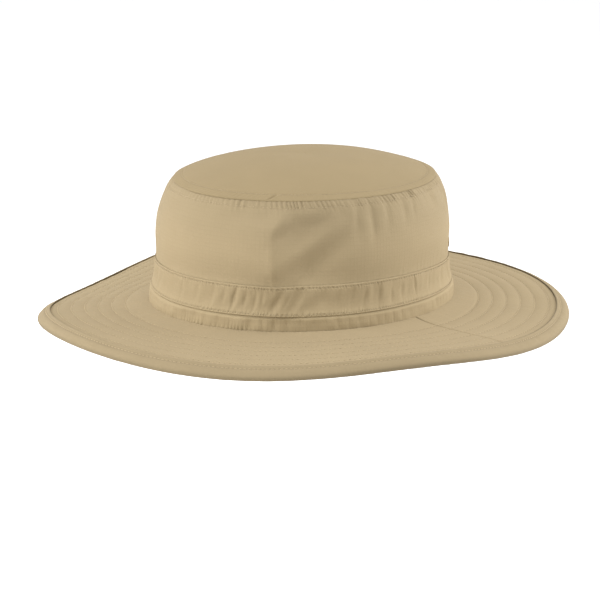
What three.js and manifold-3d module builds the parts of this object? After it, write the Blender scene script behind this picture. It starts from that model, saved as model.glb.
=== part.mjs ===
// A boonie hat: a soft cloth crown, a hat band round its foot and a wide quilted brim all round.
// Millimetres, +Z up. The origin is the middle of the head opening, on the seam of crown and brim.
// The wearer looks along -Y, and the ears are at +X and -X.
import * as THREE from "three";
import { mergeVertices } from "three/addons/utils/BufferGeometryUtils.js";
import Module from "manifold-3d";

const wasm = await Module();
wasm.setup();

// ---- Driving dimensions ----

// The head opening is an oval, measured to the outside of the crown.
const HEAD_HALF_WIDTH = 88;
const HEAD_HALF_LENGTH = 102;
const COLUMNS = 48;
const COLUMN_STEP = (2 * Math.PI) / COLUMNS;
const BACK = COLUMNS / 4;

const CLOTH = 0.5;
const GAP = 0.3;

// Crown side, as a section: how far out from the head oval, and how high.
const CROWN_FOOT = [-0.6, 0.3];
const BAND_FOOT = [-1.0, 8];
const BAND_TOP = [-2.6, 26];
const CROWN_WAIST = [-2.3, 44];
const CROWN_CHEEK = [-3.4, 54];
const CROWN_SHOULDER = [-5.4, 64];
const CROWN_TURN = [-8.4, 71];
const TIP_SEAM = [-11.5, 75.2];
const SEAM_ALLOWANCE_END = [-17.5, 77.8];
const CROWN_SECTION = [
  CROWN_FOOT, BAND_FOOT, BAND_TOP, CROWN_WAIST, CROWN_CHEEK,
  CROWN_SHOULDER, CROWN_TURN, TIP_SEAM, SEAM_ALLOWANCE_END,
];

const CROWN_HEIGHT = 88.6;
const TIP_ROWS = [0.86, 0.7, 0.5];
const TIP_PLATEAU = 0.26;
const TIP_FULLNESS = 1.9;

const BAND_THICKNESS = 0.7;
const BAND_JOIN = 18;
const SWEATBAND_THICKNESS = 1.0;
const SWEATBAND_BOTTOM = -2.0;
const SWEATBAND_TOP = 24;
const SEAM_TAPE_BOTTOM = 70;
const BUTT_GAP = 0.2;

const LABEL_COLUMNS = 3;
const LABEL_BOTTOM = 4;
const LABEL_TOP = 20;
const LABEL_THICKNESS = 0.4;

// Brim, as distances out from the head oval along the cloth.
const BRIM_WIDTH = 73;
const BRIM_INNER_EDGE = -1.1;
const BRIM_CLOTH = 0.4;
const INTERLINING = 0.6;
const INTERLINING_INNER = 3;
const INTERLINING_MARGIN = 2;
const QUILT_ROWS = 6;
const QUILT_FIRST = 17.5;
const QUILT_PITCH = 8.7;
const QUILT_LAST = QUILT_FIRST + QUILT_PITCH * (QUILT_ROWS - 1);
const EDGE_MIDDLE = (QUILT_LAST + BRIM_WIDTH) / 2;

// The brim falls off the crown seam, runs out straight and then rolls down at its rim.
const SHOULDER_DROP = 3.0;
const SHOULDER_WIDTH = 26;
const EDGE_ROLL = 4.0;
const RIM_HEIGHT = -6.5;
// Its soft waves: the direction of each in degrees, how high it lifts the rim, and how wide it is.
const RIM_WAVES = [
  [-158, -11.5, 26],
  [-104, 2.6, 18],
  [-68, -2.5, 18],
  [-30, 3.5, 18],
  [22, -4.3, 26],
  [92, -1.2, 16],
  [145, 7.5, 20],
];
// The rim lies this far to the side and back of the crown's own middle.
const RIM_SHIFT = [1.7, 1.4];

const BINDING_WIDTH = 7.5;
const BINDING_CLOTH = 0.5;
const BINDING_STITCH = 4.6;

const THREAD_WIDTH = 0.7;
const THREAD_HEIGHT = 0.5;
const BAND_STITCH_INSET = 1.5;
const SIDE_STITCH_INSET = 4.4;

const EYELET_COLUMNS = [6.5, 8.5, 15.5, 17.5];
const EYELET_HEIGHT = 30.6;
const EYELET_HOLE = 1.75;
const EYELET_BARREL = 2.1;
const EYELET_FLANGE = 3.5;
const EYELET_METAL = 0.4;
const EYELET_LIP = 3.0;
const CLOTH_HOLE = EYELET_BARREL + GAP;
const WASHER_OUTER = 3.6;
const ROUND_SIDES = 12;

// ---- Materials ----

const SHELL_CLOTH = [0xb9a582, 0.92, 0];
const LINING_CLOTH = [0xb5a17e, 0.94, 0];
const BAND_CLOTH = [0xb39f7a, 0.9, 0];
const TWILL_TAPE = [0xa8946f, 0.93, 0];
const FELT = [0xd8d0bd, 0.97, 0];
const THREAD = [0xc6b48f, 0.7, 0];
const LABEL_CLOTH = [0xeeeae0, 0.8, 0];
const BRASS = [0x5c4a2c, 0.45, 0.85];

// ---- Shared shapes ----

function columnAngle(column) {
  return column * COLUMN_STEP;
}

// A point at this column, `out` millimetres outside the head oval along the oval's own normal.
function ovalPoint(column, out, height) {
  const angle = columnAngle(column);
  const across = Math.cos(angle) / HEAD_HALF_WIDTH;
  const along = Math.sin(angle) / HEAD_HALF_LENGTH;
  const radius = 1 / Math.hypot(across, along);
  const normal = new THREE.Vector2(across / HEAD_HALF_WIDTH, along / HEAD_HALF_LENGTH).normalize();
  return new THREE.Vector3(
    radius * Math.cos(angle) + out * normal.x,
    radius * Math.sin(angle) + out * normal.y,
    height,
  );
}

function columnsBetween(first, last) {
  return Array.from({ length: last - first + 1 }, (_, index) => first + index);
}

// Geometry from points and triangles, with shared points merged, empty triangles dropped and
// every face looking out.
function closedGeometry(points, triangles) {
  const geometry = new THREE.BufferGeometry();
  geometry.setAttribute("position", new THREE.Float32BufferAttribute(points.flatMap((p) => p.toArray()), 3));
  geometry.setIndex(triangles.flat());
  const merged = mergeVertices(geometry, 1e-4);
  const index = Array.from(merged.index.array);
  const position = merged.getAttribute("position");
  const kept = [];
  let volume = 0;
  const [a, b, c] = [new THREE.Vector3(), new THREE.Vector3(), new THREE.Vector3()];
  for (let i = 0; i < index.length; i += 3) {
    const [ia, ib, ic] = index.slice(i, i + 3);
    if (ia === ib || ib === ic || ic === ia) continue;
    kept.push([ia, ib, ic]);
    a.fromBufferAttribute(position, ia);
    b.fromBufferAttribute(position, ib);
    c.fromBufferAttribute(position, ic);
    volume += a.dot(b.cross(c));
  }
  merged.setIndex(volume < 0 ? kept.flatMap(([i, j, k]) => [i, k, j]) : kept.flat());
  merged.computeVertexNormals();
  return merged;
}

// The triangles of a grid of quads, rows of equal length, looking one way or the other.
function gridTriangles(rows, columns, start, flipped) {
  const triangles = [];
  for (let row = 0; row + 1 < rows; row += 1) {
    for (let column = 0; column + 1 < columns; column += 1) {
      const a = start + row * columns + column;
      const b = a + 1;
      const c = b + columns;
      const d = a + columns;
      triangles.push(flipped ? [a, c, b] : [a, b, c], flipped ? [a, d, c] : [a, c, d]);
    }
  }
  return triangles;
}

// A closed sheet of cloth between two faces, each a list of rows of points. A face whose first and
// last columns lie on each other makes a ring, and a face that doesn't makes a strip with two ends.
function sheetBetween(face, back) {
  const rows = face.length;
  const columns = face[0].length;
  const size = rows * columns;
  const points = [...face.flat(), ...back.flat()];
  const triangles = [...gridTriangles(rows, columns, 0, false), ...gridTriangles(rows, columns, size, true)];
  for (let column = 0; column + 1 < columns; column += 1) {
    const low = column;
    const high = size - columns + column;
    triangles.push([low, size + low, size + low + 1], [low, size + low + 1, low + 1]);
    triangles.push([high, high + 1, size + high + 1], [high, size + high + 1, size + high]);
  }
  if (face[0][0].distanceTo(face[0][columns - 1]) > GAP / 2) {
    for (let row = 0; row + 1 < rows; row += 1) {
      const left = row * columns;
      const right = left + columns - 1;
      triangles.push([left, left + columns, size + left + columns], [left, size + left + columns, size + left]);
      triangles.push([right, size + right, size + right + columns], [right, size + right + columns, right + columns]);
    }
  }
  return closedGeometry(points, triangles);
}

// A closed ring with the same many-sided section at every column: `corner(column, k)` is a point.
function ringOf(columns, corners, corner) {
  const rows = [];
  for (let k = 0; k <= corners; k += 1) {
    rows.push(columns.map((column) => corner(column, k % corners)));
  }
  const triangles = gridTriangles(rows.length, columns.length, 0, false);
  return closedGeometry(rows.flat(), triangles);
}

function mesh(name, geometry, [color, roughness, metalness]) {
  const made = new THREE.Mesh(geometry, new THREE.MeshStandardMaterial({ color, roughness, metalness }));
  made.name = name;
  return made;
}

const ALL_ROUND = columnsBetween(0, COLUMNS);
const BACK_TO_BACK = columnsBetween(BACK, BACK + COLUMNS);

// ---- Crown ----

// The mitred direction straight out of the crown's section at one of its corners.
function sectionNormal(section, row) {
  const here = new THREE.Vector2(...section[row]);
  const before = new THREE.Vector2(...section[Math.max(row - 1, 0)]);
  const after = new THREE.Vector2(...section[Math.min(row + 1, section.length - 1)]);
  const turned = (from, to) => new THREE.Vector2(to.y - from.y, from.x - to.x).normalize();
  const first = row > 0 ? turned(before, here) : turned(here, after);
  const second = row + 1 < section.length ? turned(here, after) : first;
  const middle = first.clone().add(second).normalize();
  return middle.divideScalar(middle.dot(first));
}

// A point on the crown's section, moved `lift` millimetres outward through the layers.
function crownPoint(column, row, lift) {
  const normal = sectionNormal(CROWN_SECTION, row);
  const [out, height] = CROWN_SECTION[row];
  return ovalPoint(column, out + lift * normal.x, height + lift * normal.y);
}

// How far out from the oval the crown's outer face is at a height between two of its corners.
function crownOut(height) {
  const upper = CROWN_SECTION.findIndex(([, z]) => z >= height);
  if (upper <= 0) return CROWN_FOOT[0];
  const [outLow, low] = CROWN_SECTION[upper - 1];
  const [outHigh, high] = CROWN_SECTION[upper];
  return outLow + ((height - low) / (high - low)) * (outHigh - outLow);
}

// The crown side's ends lap at the centre back, so whatever lies outside it steps over the lap.
function overBackLap(column) {
  const place = ((column % COLUMNS) + COLUMNS) % COLUMNS;
  return place === BACK || place === BACK + 1 ? CLOTH + GAP : 0;
}

// One strip of cloth from the foot of the crown to the end of its seam allowance under the tip.
function crownSide() {
  const columns = columnsBetween(BACK, BACK + COLUMNS + 1);
  const lap = (column) => (column >= BACK + COLUMNS ? CLOTH + GAP : 0);
  const face = CROWN_SECTION.map((_, row) => columns.map((c) => crownPoint(c, row, lap(c))));
  const back = CROWN_SECTION.map((_, row) => columns.map((c) => crownPoint(c, row, lap(c) - CLOTH)));
  let solid = toSolid(sheetBetween(face, back));
  for (const column of EYELET_COLUMNS) {
    const drill = new THREE.CylinderGeometry(CLOTH_HOLE, CLOTH_HOLE, 4 * CLOTH, ROUND_SIDES);
    drill.rotateX(Math.PI / 2);
    drill.applyMatrix4(eyeletPlace(column));
    solid = solid.subtract(toSolid(drill));
  }
  return mesh("crown_side", toGeometry(solid), SHELL_CLOTH);
}

function toSolid(geometry) {
  const bare = geometry.clone();
  bare.deleteAttribute("normal");
  bare.deleteAttribute("uv");
  const merged = mergeVertices(bare, 1e-4);
  return new wasm.Manifold(new wasm.Mesh({
    numProp: 3,
    vertProperties: new Float32Array(merged.getAttribute("position").array),
    triVerts: new Uint32Array(merged.index.array),
  }));
}

function toGeometry(solid) {
  const made = solid.getMesh();
  const geometry = new THREE.BufferGeometry();
  geometry.setAttribute("position", new THREE.BufferAttribute(made.vertProperties, 3));
  geometry.setIndex(new THREE.BufferAttribute(made.triVerts, 1));
  geometry.computeVertexNormals();
  return geometry;
}

// The tip's height above the allowance, at a fraction of the way out from its middle.
function tipHeight(fraction, edgeHeight) {
  const slope = Math.max((fraction - TIP_PLATEAU) / (1 - TIP_PLATEAU), 0) ** TIP_FULLNESS;
  return CROWN_HEIGHT - (CROWN_HEIGHT - edgeHeight) * slope;
}

// The flat-topped oval panel that closes the crown, its edge turned over the side's allowance.
function crownTip() {
  const seamRow = CROWN_SECTION.length - 2;
  const edgeRow = CROWN_SECTION.length - 1;
  const layer = (lift) => {
    const rows = [seamRow, edgeRow].map((row) =>
      ALL_ROUND.map((column) => crownPoint(column, row, lift + overBackLap(column))));
    const edge = ALL_ROUND.map((column) => crownPoint(column, edgeRow, lift));
    for (const fraction of [...TIP_ROWS, TIP_PLATEAU, 0]) {
      const drop = GAP + CLOTH - lift;
      rows.push(edge.map((p) => new THREE.Vector3(
        p.x * fraction, p.y * fraction, tipHeight(fraction, p.z + drop) - drop)));
    }
    return rows;
  };
  return mesh("crown_tip", sheetBetween(layer(GAP + CLOTH), layer(GAP)), SHELL_CLOTH);
}

// The tape inside the crown that covers the raw edges of the tip seam.
function tipSeamTape() {
  const rows = CROWN_SECTION.length;
  const layer = (lift) => [
    ALL_ROUND.map((column) => ovalPoint(column, crownOut(SEAM_TAPE_BOTTOM) + lift, SEAM_TAPE_BOTTOM)),
    ...[rows - 3, rows - 2, rows - 1].map((row) => ALL_ROUND.map((column) => crownPoint(column, row, lift))),
  ];
  const face = layer(-CLOTH - GAP);
  const back = layer(-2 * CLOTH - GAP);
  return mesh("tip_seam_tape", sheetBetween(face, back), TWILL_TAPE);
}

// The hat band: one tape round the foot of the crown, its ends lapped near the back.
function hatBand() {
  const columns = columnsBetween(BAND_JOIN, BAND_JOIN + COLUMNS + 1);
  const step = (column) => (column >= BAND_JOIN + COLUMNS ? BAND_THICKNESS + GAP : 0) + overBackLap(column);
  const layer = (lift) => [BAND_FOOT, BAND_TOP].map(([out, height]) =>
    columns.map((column) => ovalPoint(column, out + lift + step(column), height)));
  const geometry = sheetBetween(layer(GAP + BAND_THICKNESS), layer(GAP));
  return mesh("hat_band", geometry, BAND_CLOTH);
}

// The folded cotton band that rests on the head, its ends meeting at the centre back.
function sweatband() {
  const outside = -CLOTH - GAP;
  const heights = [SWEATBAND_BOTTOM, CROWN_FOOT[1], BAND_FOOT[1], SWEATBAND_TOP];
  const layer = (lift) => heights.map((height) => BACK_TO_BACK.map((column, index) => {
    const point = ovalPoint(column, crownOut(height) + lift, height);
    if (index === 0) point.x -= BUTT_GAP;
    if (index === COLUMNS) point.x += BUTT_GAP;
    return point;
  }));
  return mesh("sweatband", sheetBetween(layer(outside), layer(outside - SWEATBAND_THICKNESS)), LINING_CLOTH);
}

// A small blank label on the sweatband, beside the centre back.
function careLabel() {
  const columns = columnsBetween(BACK + 2, BACK + 2 + LABEL_COLUMNS);
  const outside = -CLOTH - GAP - SWEATBAND_THICKNESS - GAP;
  const heights = [LABEL_BOTTOM, BAND_FOOT[1], LABEL_TOP];
  const layer = (lift) => heights.map((height) =>
    columns.map((column) => ovalPoint(column, crownOut(height) + lift, height)));
  return mesh("care_label", sheetBetween(layer(outside), layer(outside - LABEL_THICKNESS)), LABEL_CLOTH);
}

// ---- Vent eyelets ----

// The place of an eyelet: on the flat of the crown side, its own Z looking straight out.
function eyeletPlace(column) {
  const left = Math.floor(column);
  const foot = [left, left + 1].map((c) => ovalPoint(c, BAND_TOP[0], BAND_TOP[1]));
  const head = [left, left + 1].map((c) => ovalPoint(c, CROWN_WAIST[0], CROWN_WAIST[1]));
  const share = (EYELET_HEIGHT - BAND_TOP[1]) / (CROWN_WAIST[1] - BAND_TOP[1]);
  const low = foot[0].clone().add(foot[1]).multiplyScalar(0.5);
  const high = head[0].clone().add(head[1]).multiplyScalar(0.5);
  const along = foot[1].clone().sub(foot[0]).normalize();
  const up = high.clone().sub(low).normalize();
  const out = along.clone().cross(up).normalize();
  const place = new THREE.Matrix4().makeBasis(along, out.clone().cross(along), out);
  return place.setPosition(low.lerp(high, share));
}

function latheAboutZ(profile) {
  const points = profile.map(([radius, height]) => new THREE.Vector2(radius, height));
  const geometry = new THREE.LatheGeometry([...points, points[0].clone()], ROUND_SIDES);
  geometry.rotateX(Math.PI / 2);
  return toGeometry(toSolid(closedFrom(geometry)));
}

function closedFrom(geometry) {
  const position = geometry.getAttribute("position");
  const points = [];
  for (let i = 0; i < position.count; i += 1) points.push(new THREE.Vector3().fromBufferAttribute(position, i));
  const index = Array.from(geometry.index.array);
  const triangles = [];
  for (let i = 0; i < index.length; i += 3) triangles.push(index.slice(i, i + 3));
  return closedGeometry(points, triangles);
}

// A pressed eyelet: a flange outside, a barrel through the cloth and a rolled lip inside.
function eyelet(name, column) {
  const washerBack = -CLOTH - GAP - EYELET_METAL;
  const lipFront = washerBack - GAP;
  const lipBack = lipFront - EYELET_METAL;
  const profile = [
    [EYELET_HOLE, lipBack],
    [EYELET_LIP, lipBack],
    [EYELET_LIP, lipFront],
    [EYELET_BARREL, lipFront],
    [EYELET_BARREL, GAP],
    [EYELET_FLANGE, GAP],
    [EYELET_FLANGE, GAP + EYELET_METAL / 2],
    [EYELET_BARREL, GAP + 2 * EYELET_METAL],
    [EYELET_HOLE, GAP + EYELET_METAL],
  ];
  const made = mesh(name, latheAboutZ(profile), BRASS);
  made.applyMatrix4(eyeletPlace(column));
  return made;
}

function eyeletWasher(name, column) {
  const front = -CLOTH - GAP;
  const profile = [
    [CLOTH_HOLE, front - EYELET_METAL],
    [WASHER_OUTER, front - EYELET_METAL],
    [WASHER_OUTER, front],
    [CLOTH_HOLE, front],
  ];
  const made = mesh(name, latheAboutZ(profile), BRASS);
  made.applyMatrix4(eyeletPlace(column));
  return made;
}

// ---- Brim ----

// The height of the brim's rim in this direction: its level, and the waves the soft cloth has taken.
function rimHeight(column) {
  const degrees = THREE.MathUtils.radToDeg(columnAngle(column));
  return RIM_WAVES.reduce((height, [middle, lift, width]) => {
    const away = THREE.MathUtils.euclideanModulo(degrees - middle + 180, 360) - 180;
    return height + lift * Math.exp(-((away / width) ** 2) / 2);
  }, RIM_HEIGHT);
}

// A point of the brim `distance` out along the cloth, `lift` above its top face.
function brimPoint(column, distance, lift) {
  const share = distance / BRIM_WIDTH;
  const rim = rimHeight(column);
  const fall = SHOULDER_DROP * (1 - Math.max(1 - distance / SHOULDER_WIDTH, 0) ** 2);
  const roll = EDGE_ROLL * (Math.max(distance - QUILT_LAST, 0) / (BRIM_WIDTH - QUILT_LAST)) ** 2;
  const height = (rim + EDGE_ROLL) * share - fall * (1 - share) - roll;
  const out = Math.sqrt(BRIM_WIDTH ** 2 - rim ** 2) * share;
  if (distance < 0) return ovalPoint(column, distance, lift);
  const point = ovalPoint(column, out, height + lift);
  return point.add(new THREE.Vector3(RIM_SHIFT[0] * share, RIM_SHIFT[1] * share, 0));
}

const BRIM_ROWS = [BRIM_WIDTH, EDGE_MIDDLE, QUILT_LAST, SHOULDER_WIDTH, QUILT_FIRST, QUILT_FIRST / 2, 0, BRIM_INNER_EDGE];

// Half of a brim layer, from ear seam to ear seam.
function brimHalf(name, first, top, thickness, material) {
  const columns = columnsBetween(first, first + COLUMNS / 2);
  const side = first === 0 ? 1 : -1;
  const layer = (lift) => BRIM_ROWS.map((distance) => columns.map((column, index) => {
    const point = brimPoint(column, distance, lift);
    if (index === 0 || index === columns.length - 1) point.y += (side * GAP) / 2;
    return point;
  }));
  return mesh(name, sheetBetween(layer(top), layer(top - thickness)), material);
}

// The stiffener quilted between the brim's two cloths.
function brimInterlining() {
  const top = -BRIM_CLOTH - GAP;
  const outer = BRIM_WIDTH - INTERLINING_MARGIN;
  const distances = [outer, ...BRIM_ROWS.filter((d) => d < outer && d > INTERLINING_INNER), INTERLINING_INNER];
  const layer = (lift) => distances.map((distance) =>
    ALL_ROUND.map((column) => brimPoint(column, distance, lift)));
  return mesh("brim_interlining", sheetBetween(layer(top), layer(top - INTERLINING)), FELT);
}

const STACK = 2 * BRIM_CLOTH + INTERLINING + 2 * GAP;

// The folded strip that closes the raw edges of the brim.
function brimBinding() {
  const inner = BRIM_WIDTH - BINDING_WIDTH;
  const nose = GAP + BINDING_CLOTH;
  const corners = [
    [inner, GAP + BINDING_CLOTH],
    [EDGE_MIDDLE, GAP + BINDING_CLOTH],
    [BRIM_WIDTH - GAP, GAP + BINDING_CLOTH],
    [BRIM_WIDTH + nose, -STACK / 4],
    [BRIM_WIDTH + nose, (-3 * STACK) / 4],
    [BRIM_WIDTH - GAP, -STACK - GAP - BINDING_CLOTH],
    [EDGE_MIDDLE, -STACK - GAP - BINDING_CLOTH],
    [inner, -STACK - GAP - BINDING_CLOTH],
    [inner, -STACK - GAP],
    [EDGE_MIDDLE, -STACK - GAP],
    [BRIM_WIDTH, -STACK - GAP],
    [BRIM_WIDTH + GAP, -STACK],
    [BRIM_WIDTH + GAP, 0],
    [BRIM_WIDTH, GAP],
    [EDGE_MIDDLE, GAP],
    [inner, GAP],
  ];
  const geometry = ringOf(ALL_ROUND, corners.length, (column, k) => {
    const [distance, lift] = corners[k];
    const onCloth = Math.min(distance, BRIM_WIDTH);
    const point = brimPoint(column, onCloth, lift);
    const level = ovalPoint(column, distance - onCloth, 0).sub(ovalPoint(column, 0, 0));
    return point.add(level);
  });
  return mesh("brim_binding", geometry, BAND_CLOTH);
}

// ---- Stitching ----

// A row of thread lying on a surface: `spot(column, sideways, lift)` is a point beside its line.
function threadRow(name, spot) {
  const section = [
    [-THREAD_WIDTH / 2, GAP],
    [THREAD_WIDTH / 2, GAP],
    [0, GAP + THREAD_HEIGHT],
  ];
  const geometry = ringOf(ALL_ROUND, section.length, (column, k) => spot(column, ...section[k]));
  return mesh(name, geometry, THREAD);
}

function quiltingRow(row) {
  const distance = QUILT_FIRST + QUILT_PITCH * row;
  return threadRow(`quilting_thread_${row + 1}`, (column, sideways, lift) =>
    brimPoint(column, distance + sideways, lift));
}

function bindingThread() {
  const distance = BRIM_WIDTH - BINDING_STITCH;
  return threadRow("binding_thread", (column, sideways, lift) =>
    brimPoint(column, distance + sideways, lift + GAP + BINDING_CLOTH));
}

function bandThread(name, height) {
  return threadRow(name, (column, sideways, lift) => {
    const share = (height + sideways - BAND_FOOT[1]) / (BAND_TOP[1] - BAND_FOOT[1]);
    const out = BAND_FOOT[0] + share * (BAND_TOP[0] - BAND_FOOT[0]);
    const place = ((column % COLUMNS) + COLUMNS) % COLUMNS;
    const lap = place === BAND_JOIN || place === BAND_JOIN + 1 ? BAND_THICKNESS + GAP : 0;
    const face = GAP + BAND_THICKNESS + overBackLap(column) + lap;
    return ovalPoint(column, out + face + lift, height + sideways);
  });
}

function tipThread() {
  const row = CROWN_SECTION.length - 1;
  const normal = sectionNormal(CROWN_SECTION, row);
  return threadRow("tip_topstitch_thread", (column, sideways, lift) => {
    const through = GAP + CLOTH + overBackLap(column) + lift;
    const [out, height] = CROWN_SECTION[row];
    const tangent = sideways + THREAD_WIDTH / 2;
    return ovalPoint(
      column,
      out + through * normal.x + tangent * normal.y,
      height + through * normal.y - tangent * normal.x,
    );
  });
}

// The row below the tip seam, which holds the side's seam allowance down over the gathers.
function sideThread() {
  const from = new THREE.Vector2(...TIP_SEAM);
  const along = new THREE.Vector2(...CROWN_TURN).sub(from).normalize();
  const normal = new THREE.Vector2(-along.y, along.x);
  return threadRow("side_topstitch_thread", (column, sideways, lift) => {
    const down = SIDE_STITCH_INSET + sideways;
    const through = lift + overBackLap(column);
    return ovalPoint(
      column,
      from.x + down * along.x + through * normal.x,
      from.y + down * along.y + through * normal.y,
    );
  });
}

// ---- The hat ----

const hat = new THREE.Group();

const crown = new THREE.Group();
crown.add(crownSide());
crown.add(crownTip());
crown.add(tipSeamTape());
crown.add(hatBand());
crown.add(sweatband());
crown.add(careLabel());
crown.add(tipThread());
crown.add(sideThread());
crown.add(bandThread("band_thread_lower", BAND_FOOT[1] + BAND_STITCH_INSET));
crown.add(bandThread("band_thread_upper", BAND_TOP[1] - BAND_STITCH_INSET));
EYELET_COLUMNS.forEach((column, index) => {
  crown.add(eyelet(`vent_eyelet_${index + 1}`, column));
  crown.add(eyeletWasher(`vent_washer_${index + 1}`, column));
});
hat.add(crown);

const brim = new THREE.Group();
brim.add(brimHalf("brim_top_back", 0, 0, BRIM_CLOTH, SHELL_CLOTH));
brim.add(brimHalf("brim_top_front", -COLUMNS / 2, 0, BRIM_CLOTH, SHELL_CLOTH));
brim.add(brimInterlining());
brim.add(brimHalf("brim_under_back", 0, BRIM_CLOTH - STACK, BRIM_CLOTH, LINING_CLOTH));
brim.add(brimHalf("brim_under_front", -COLUMNS / 2, BRIM_CLOTH - STACK, BRIM_CLOTH, LINING_CLOTH));
brim.add(brimBinding());
brim.add(bindingThread());
for (let row = 0; row < QUILT_ROWS; row += 1) brim.add(quiltingRow(row));
hat.add(brim);

export default hat;
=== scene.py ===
"""A tan boonie hat: its cloth, stitching and eyelets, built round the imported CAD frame.

Lengths are in millimetres until a mesh is made. Angles go round the head oval from +X, the wearer's
left ear, towards +Y, the centre back, and are in radians unless a name says degrees.
"""

import math

import bpy
import numpy as np
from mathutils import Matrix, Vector


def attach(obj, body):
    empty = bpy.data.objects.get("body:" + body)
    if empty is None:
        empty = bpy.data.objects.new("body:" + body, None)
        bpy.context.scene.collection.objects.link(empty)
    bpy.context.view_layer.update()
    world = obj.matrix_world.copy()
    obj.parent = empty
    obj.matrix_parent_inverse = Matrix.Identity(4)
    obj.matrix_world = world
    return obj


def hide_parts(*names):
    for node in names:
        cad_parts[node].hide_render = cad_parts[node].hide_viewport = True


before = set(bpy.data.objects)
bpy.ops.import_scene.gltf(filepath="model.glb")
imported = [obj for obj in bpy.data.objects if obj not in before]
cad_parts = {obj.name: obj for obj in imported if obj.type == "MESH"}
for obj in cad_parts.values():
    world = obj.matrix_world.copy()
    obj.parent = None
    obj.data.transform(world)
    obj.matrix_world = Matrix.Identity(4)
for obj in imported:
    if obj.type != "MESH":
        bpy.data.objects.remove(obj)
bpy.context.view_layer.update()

MM = 0.001
TURN = 2 * math.pi

# ---- Driving dimensions, as the CAD part has them ----

HEAD_HALF_WIDTH = 88.0
HEAD_HALF_LENGTH = 102.0
HEAD_AROUND = 598.0
TIP_SEAM_HEIGHT = 75.3
TIP_SEAM_OUT = -11.5
TIP_REACH = 84.0
TIP_STITCH = 5.6
SIDE_STITCH = 4.4
# How much cloth a millimetre of height takes beside the tip seam.
SHOULDER_CLOTH = 1.23
TIP_PROFILE = [(0, 88.5), (0.24, 88.4), (0.46, 87.2), (0.65, 84.7), (0.8, 81.8), (0.93, 78.3), (1, 75.6)]
SIDE_SECTION = [
    (-1, 1.9), (2, 1.75), (5, 1.45), (7.2, 1.15), (8.1, 0.5), (9.5, -0.2), (26, -2.4), (44, -2.2),
    (54, -3.2), (64, -5.3), (71, -8.4), (75.3, -11.5),
]
BAND_LOW = 8.0
BAND_HIGH = 26.4
BAND_CLOTH_HEIGHT = 18.4
BAND_THICKNESS = 0.7
BAND_STITCH_INSET = 1.5
SWEATBAND_LOW = -2.0
SWEATBAND_HIGH = 24.0
TAPE_LOW = 70.0
BRIM_WIDTH = 73.0
QUILT_ROWS = 6
QUILT_FIRST = 17.5
QUILT_PITCH = 8.7
QUILT_LAST = QUILT_FIRST + QUILT_PITCH * (QUILT_ROWS - 1)
BRIM_DEPTH = 2.0
SHOULDER_DROP = 3.0
SHOULDER_WIDTH = 26.0
EDGE_ROLL = 4.0
RIM_HEIGHT = -6.5
RIM_WAVES = [
    (-158, -11.5, 26), (-104, 2.6, 18), (-68, -2.5, 18), (-30, 3.5, 18),
    (22, -4.3, 26), (92, -1.2, 16), (145, 7.5, 20),
]
RIM_SHIFT = (1.7, 1.4)
BINDING_WIDTH = 7.5
BINDING_AROUND = 1050
BINDING_STITCH = 4.6
EYELET_DEGREES = {
    "vent_eyelet_1": 48.75, "vent_eyelet_2": 63.75, "vent_eyelet_3": 116.25, "vent_eyelet_4": 131.25,
}
EYELET_HEIGHT = 30.6
EYELET_HOLE = 2.4
RIPSTOP_PITCH = 2.45
WEAVE_PITCH = 0.42

# ---- The view ----

# The direction and distance were chosen. The elevation, roll, lens, pitch and yaw come from a camera
# fitted to the crown's seams and outline in the photograph. Pitch and yaw shift the hat in the frame.
VIEW_AZIMUTH = math.radians(40)
VIEW_ELEVATION = math.radians(12.39)
VIEW_ROLL = math.radians(0.96)
VIEW_PITCH = 0.0316
VIEW_YAW = 0.0017
VIEW_DISTANCE = 1.4
VIEW_LENS = 133.85
VIEW_RIGHT = Vector((math.cos(VIEW_AZIMUTH), math.sin(VIEW_AZIMUTH), 0))
VIEW_FRONT = Vector((math.sin(VIEW_AZIMUTH), -math.cos(VIEW_AZIMUTH), 0))
AIM = Vector((0, 0, 0.04))
FLOOR_HEIGHT = -0.3
FLOOR_HALF = 12.0


# ---- Camera, light and stage ----


def add_object(name, data):
    made = bpy.data.objects.new(name, data)
    bpy.context.collection.objects.link(made)
    return made


def turned(first, second, angle):
    """Two axes, turned by this angle in their own plane."""
    cosine, sine = math.cos(angle), math.sin(angle)
    return first * cosine + second * sine, second * cosine - first * sine


def add_camera():
    """A long lens a little above the brim, to the wearer's front quarter."""
    azimuth, elevation = VIEW_AZIMUTH, VIEW_ELEVATION
    back = Vector((math.sin(azimuth) * math.cos(elevation), -math.cos(azimuth) * math.cos(elevation),
                   math.sin(elevation)))
    right = VIEW_RIGHT
    up = back.cross(right)
    place = AIM + VIEW_DISTANCE * back
    right, up = turned(right, up, VIEW_ROLL)
    back, up = turned(back, up, VIEW_PITCH)
    back, right = turned(back, right, VIEW_YAW)
    data = bpy.data.cameras.new("camera")
    data.lens = VIEW_LENS
    data.sensor_width = 36
    data.clip_end = 50
    camera = add_object("camera", data)
    matrix = camera.matrix_world.copy()
    for row in range(3):
        matrix[row][0], matrix[row][1], matrix[row][2] = right[row], up[row], back[row]
        matrix[row][3] = place[row]
    camera.matrix_world = matrix
    bpy.context.scene.camera = camera


def add_softbox(name, sideways, forwards, height, size, power, colour):
    """A square light, placed across and towards the view and above the hat, that faces the hat."""
    data = bpy.data.lights.new(name, "AREA")
    data.shape = "RECTANGLE"
    data.size, data.size_y = size, size
    data.energy = power
    data.color = colour
    light = add_object(name, data)
    place = sideways * VIEW_RIGHT + forwards * VIEW_FRONT + Vector((0, 0, height))
    light.location = place
    light.rotation_euler = (AIM - place).to_track_quat("-Z", "Y").to_euler()


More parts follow.
